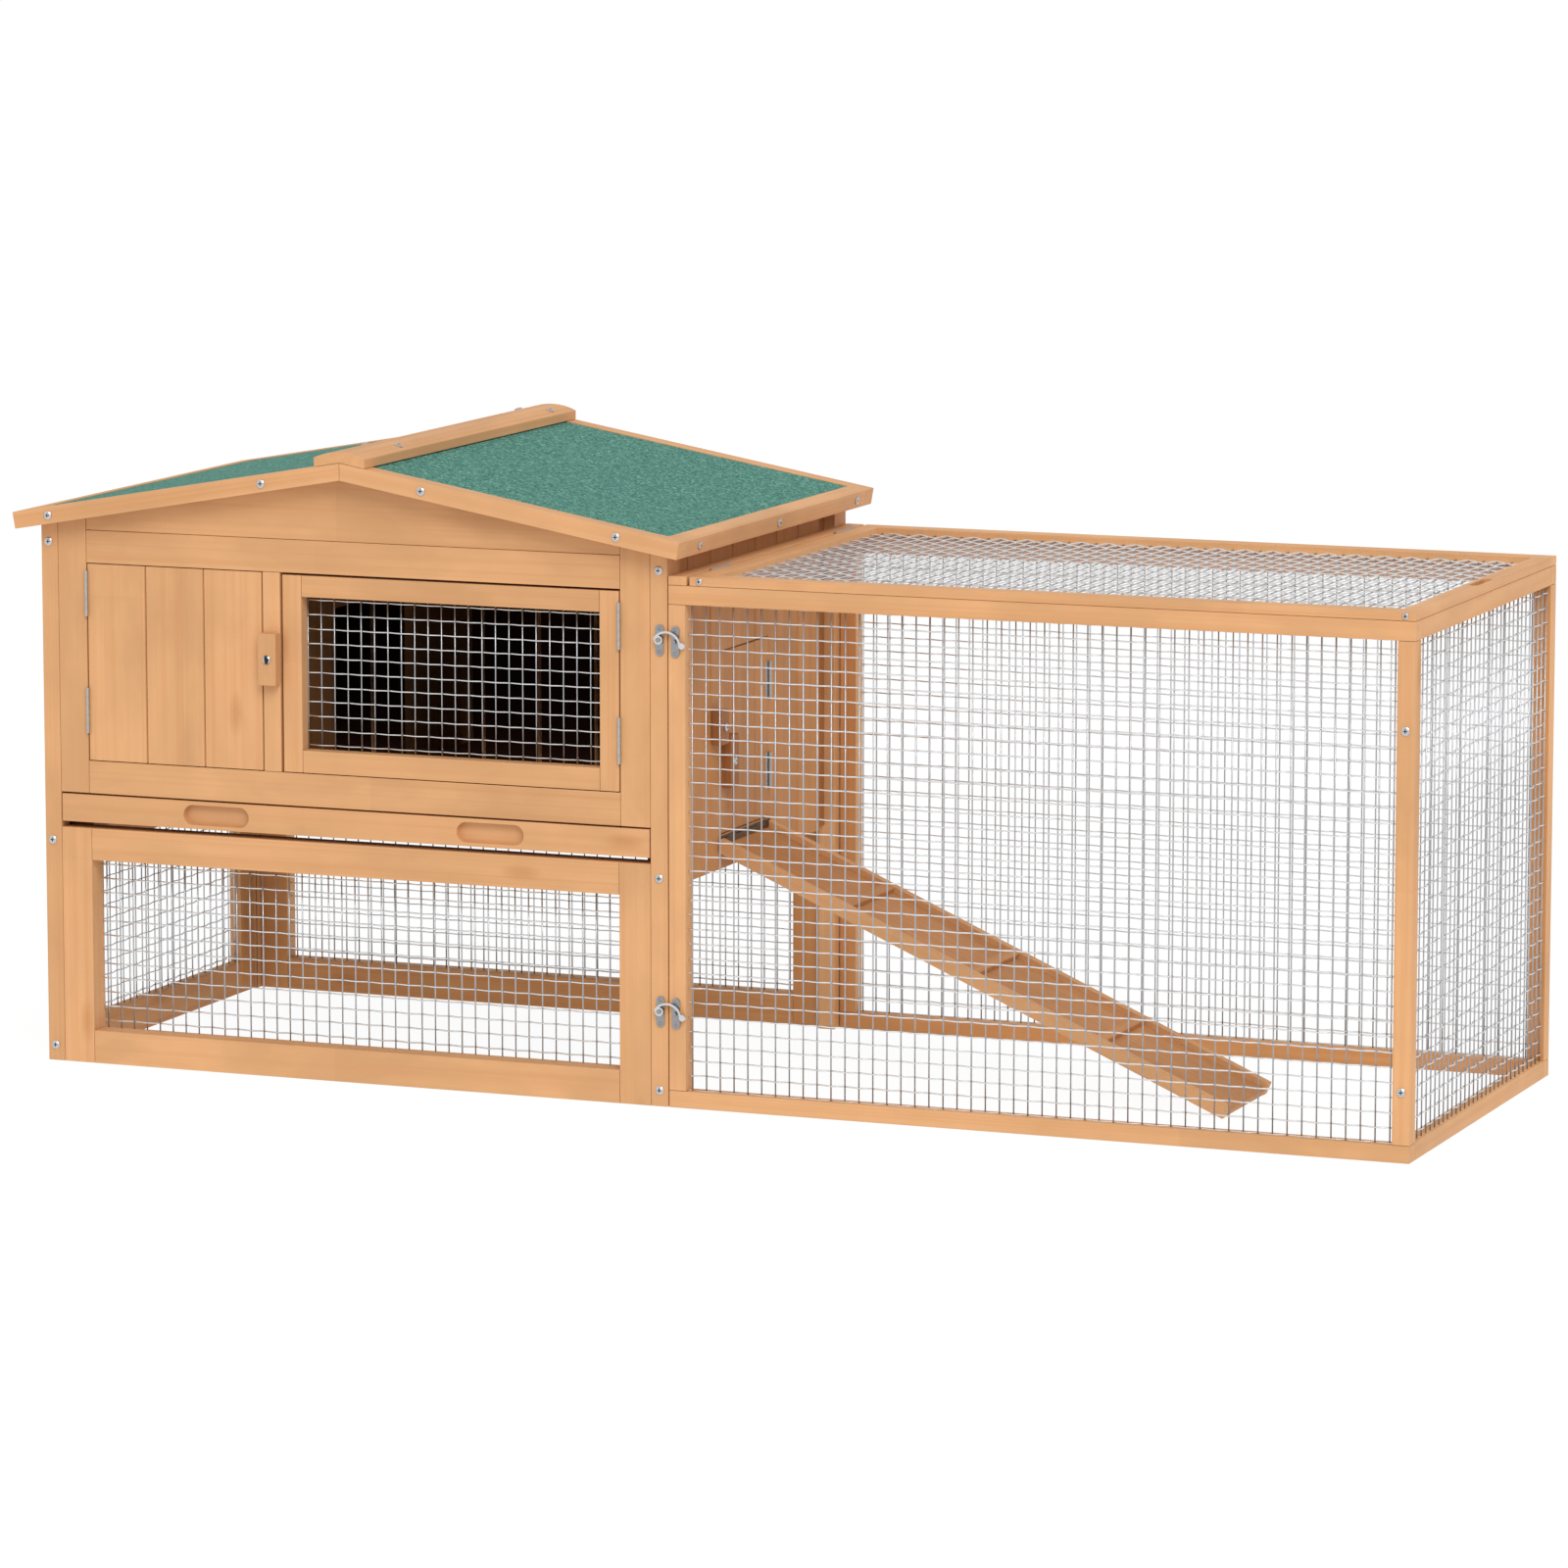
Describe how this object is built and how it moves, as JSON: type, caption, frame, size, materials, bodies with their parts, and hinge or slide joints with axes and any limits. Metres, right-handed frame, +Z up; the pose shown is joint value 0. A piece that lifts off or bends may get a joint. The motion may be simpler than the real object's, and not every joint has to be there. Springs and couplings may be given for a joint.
{
  "type": "rabbit hutch",
  "caption": "Gabled two-storey wooden rabbit hutch with wire and solid doors, a slide-out tray, an inner ramp and a long wire run with a lifting lid.",
  "frame": {"origin": "on the ground under the middle of the whole hutch, run included", "axes": "+X along the front from the house towards the run, +Y from the front to the back, +Z up"},
  "size_m": [1.576, 0.572, 0.6847],
  "materials": {
    "stained_pine": "satin, honey coloured stain",
    "inner_pine": "matt, darker unlit inner faces",
    "wire_mesh": "galvanised, dull",
    "roof_felt": "green mineral felt, gritty",
    "zinc_fittings": "bright zinc",
    "ramp_hinge": "dull, in shadow at the ramp's top"
  },
  "bodies": {
    "house": {"corner_posts": "stained_pine", "upper_front_frame": "stained_pine", "door_mullion": "stained_pine", "front_gable": "stained_pine", "left_wall": "stained_pine", "right_wall": "stained_pine", "back_wall": "stained_pine", "partition": "inner_pine", "tray_runners": "inner_pine", "lower_front_frame": "stained_pine", "lower_front_mesh": "wire_mesh", "lower_left_frame": "stained_pine", "lower_left_mesh": "wire_mesh", "lower_back_frame": "stained_pine", "lower_back_mesh": "wire_mesh", "roof_decks": "inner_pine", "roof_felts": "roof_felt", "barge_boards": "stained_pine", "eave_boards": "stained_pine", "ridge_cap": "stained_pine", "run_front_frame": "stained_pine", "run_back_frame": "stained_pine", "run_end_frame": "stained_pine", "hinge_batten": "stained_pine", "run_front_mesh": "wire_mesh", "run_back_mesh": "wire_mesh", "run_end_mesh": "wire_mesh", "frame_screws": "zinc_fittings", "roof_screws": "zinc_fittings", "hinge_pins": "zinc_fittings", "solid_door_hinge_jambs": "zinc_fittings", "mesh_door_hinge_jambs": "zinc_fittings", "side_door_hinge_jambs": "zinc_fittings", "lid_hinge_jambs": "zinc_fittings", "ramp_hinge_jamb": "ramp_hinge", "latch_plates": "zinc_fittings"},
    "solid_door": {"solid_door_boards": "stained_pine", "solid_door_ledges": "inner_pine", "solid_door_hinge_leaves": "zinc_fittings"},
    "mesh_door": {"mesh_door_frame": "stained_pine", "mesh_door_mesh": "wire_mesh", "mesh_door_hinge_leaves": "zinc_fittings"},
    "side_door": {"side_door_boards": "stained_pine", "side_door_handle": "stained_pine", "handle_screw": "zinc_fittings", "side_door_hinge_leaves": "zinc_fittings"},
    "lid": {"lid_frame": "stained_pine", "lid_mesh": "wire_mesh", "lid_screws": "zinc_fittings", "lid_hinge_leaves": "zinc_fittings"},
    "tray": {"tray_front": "stained_pine", "tray_pan": "inner_pine"},
    "ramp": {"ramp_board": "stained_pine", "ramp_rails": "stained_pine", "ramp_cleats": "stained_pine", "ramp_hinge_leaf": "ramp_hinge"},
    "front_button": {"front_turn_button": "stained_pine"},
    "side_button": {"side_turn_button": "stained_pine"},
    "lower_latch": {"lower_hook": "zinc_fittings"},
    "upper_latch": {"upper_hook": "zinc_fittings"}
  },
  "joints": [
    {"name": "solid_door_hinge", "type": "hinge", "parent": "house", "child": "solid_door", "pos_m": [-0.70978, -0.2631, 0.45345], "axis": [0, 0, -1], "range_deg": [0, 110]},
    {"name": "mesh_door_hinge", "type": "hinge", "parent": "house", "child": "mesh_door", "pos_m": [-0.08398, -0.2631, 0.4505], "axis": [0, 0, 1], "range_deg": [0, 110]},
    {"name": "side_door_hinge", "type": "hinge", "parent": "house", "child": "side_door", "pos_m": [-0.03238, 0.0372, 0.36975], "axis": [0, 0, 1], "range_deg": [0, 100]},
    {"name": "lid_hinge", "type": "hinge", "parent": "house", "child": "lid", "pos_m": [-0.00598, 0.017, 0.567], "axis": [0, -1, 0], "range_deg": [0, 85]},
    {"name": "ramp_hinge", "type": "hinge", "parent": "house", "child": "ramp", "pos_m": [-0.03333, -0.0328, 0.2656], "axis": [0, -1, 0], "range_deg": [0, 23]},
    {"name": "tray_slide", "type": "slide", "parent": "house", "child": "tray", "axis": [0, -1, 0], "range_m": [0, 0.42]},
    {"name": "front_button_pivot", "type": "hinge", "parent": "house", "child": "front_button", "pos_m": [-0.48913, -0.268, 0.4569], "axis": [0, -1, 0], "range_deg": [0, 90]},
    {"name": "side_button_pivot", "type": "hinge", "parent": "house", "child": "side_button", "pos_m": [-0.02748, -0.1182, 0.388], "axis": [1, 0, 0], "range_deg": [0, 90]},
    {"name": "lower_hook_pivot", "type": "hinge", "parent": "house", "child": "lower_latch", "pos_m": [-0.03778, -0.2653, 0.103], "axis": [0, -1, 0], "range_deg": [0, 95]},
    {"name": "upper_hook_pivot", "type": "hinge", "parent": "house", "child": "upper_latch", "pos_m": [-0.03778, -0.2653, 0.4992], "axis": [0, -1, 0], "range_deg": [0, 95]}
  ]
}
